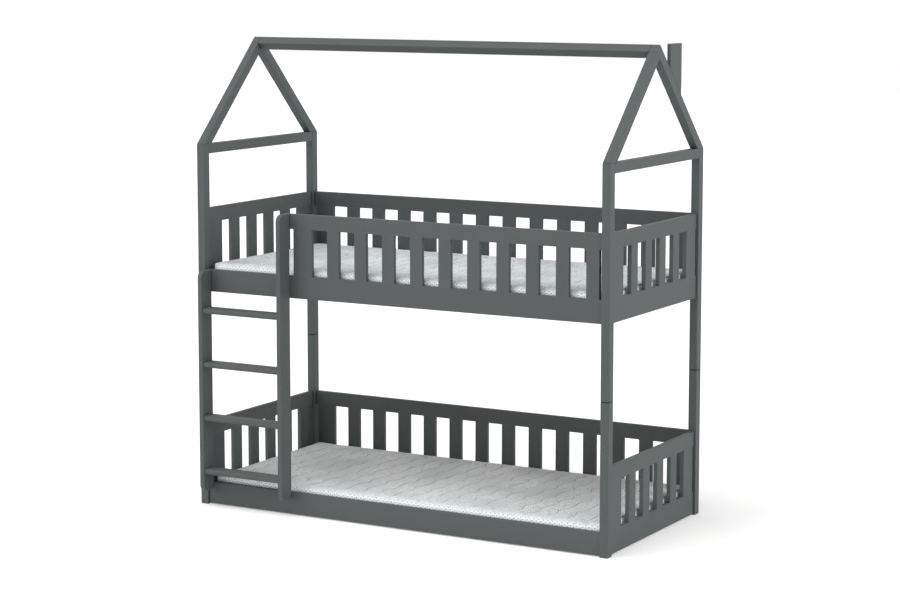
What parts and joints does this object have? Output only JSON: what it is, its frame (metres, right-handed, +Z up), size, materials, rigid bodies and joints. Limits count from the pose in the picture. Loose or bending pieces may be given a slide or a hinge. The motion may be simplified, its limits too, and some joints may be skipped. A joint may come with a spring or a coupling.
{
  "type": "house bunk bed",
  "caption": "Low two-level children's bed in a house-shaped frame: slatted sides and guard, front ladder, open gable roof with ridge beam and flat chimney board, quilted mattresses.",
  "frame": {"origin": "on the floor, at the middle of the outline of the bed with its ladder", "axes": "+X to the right along the bed and +Y to the back as seen from the ladder side, +Z up"},
  "size_m": [1.88, 0.921, 1.9285],
  "materials": {
    "graphite_paint": "satin opaque paint",
    "bare_wood": "planed, uncoated",
    "zinc_steel": "zinc plated",
    "quilted_cover": "quilted knit, matte",
    "foam_core": "cut foam"
  },
  "bodies": {
    "frame": {"bed_slat_screws": "zinc_steel", "cam_bolts": "zinc_steel", "cams": "zinc_steel", "chimney_board": "graphite_paint", "guard_slats": "graphite_paint", "guard_top_rail": "graphite_paint", "ladder_left_upright": "graphite_paint", "ladder_right_upright": "graphite_paint", "ladder_rung_1": "graphite_paint", "ladder_rung_2": "graphite_paint", "ladder_rung_3": "graphite_paint", "ladder_rung_4": "graphite_paint", "ladder_screws": "zinc_steel", "ledger_screws": "zinc_steel", "left_back_rafter": "graphite_paint", "left_front_rafter": "graphite_paint", "left_tie": "graphite_paint", "lower_back_bottom_rail": "graphite_paint", "lower_back_slats": "graphite_paint", "lower_back_top_rail": "graphite_paint", "lower_bed_slats": "bare_wood", "lower_front_rail": "graphite_paint", "lower_ledgers": "bare_wood", "lower_left_bottom_rail": "graphite_paint", "lower_left_slats": "graphite_paint", "lower_left_top_rail": "graphite_paint", "lower_post_back_left": "graphite_paint", "lower_post_back_right": "graphite_paint", "lower_post_front_left": "graphite_paint", "lower_post_front_right": "graphite_paint", "lower_right_bottom_rail": "graphite_paint", "lower_right_slats": "graphite_paint", "lower_right_top_rail": "graphite_paint", "post_pins": "zinc_steel", "rail_dowels": "bare_wood", "ridge_beam": "graphite_paint", "right_back_rafter": "graphite_paint", "right_front_rafter": "graphite_paint", "right_tie": "graphite_paint", "roof_dowels": "bare_wood", "upper_back_bottom_rail": "graphite_paint", "upper_back_slats": "graphite_paint", "upper_back_top_rail": "graphite_paint", "upper_bed_slats": "bare_wood", "upper_front_rail": "graphite_paint", "upper_ledgers": "bare_wood", "upper_left_bottom_rail": "graphite_paint", "upper_left_slats": "graphite_paint", "upper_left_top_rail": "graphite_paint", "upper_post_back_left": "graphite_paint", "upper_post_back_right": "graphite_paint", "upper_post_front_left": "graphite_paint", "upper_post_front_right": "graphite_paint", "upper_right_bottom_rail": "graphite_paint", "upper_right_slats": "graphite_paint", "upper_right_top_rail": "graphite_paint"},
    "lower_mattress": {"lower_mattress_core": "foam_core", "lower_mattress_cover": "quilted_cover"},
    "upper_mattress": {"upper_mattress_core": "foam_core", "upper_mattress_cover": "quilted_cover"}
  },
  "joints": [
    {"name": "lower_mattress_lift", "type": "slide", "parent": "frame", "child": "lower_mattress", "axis": [0, 0, 1], "range_m": [0, 0.2]},
    {"name": "upper_mattress_lift", "type": "slide", "parent": "frame", "child": "upper_mattress", "axis": [0, 0, 1], "range_m": [0, 0.2]}
  ]
}
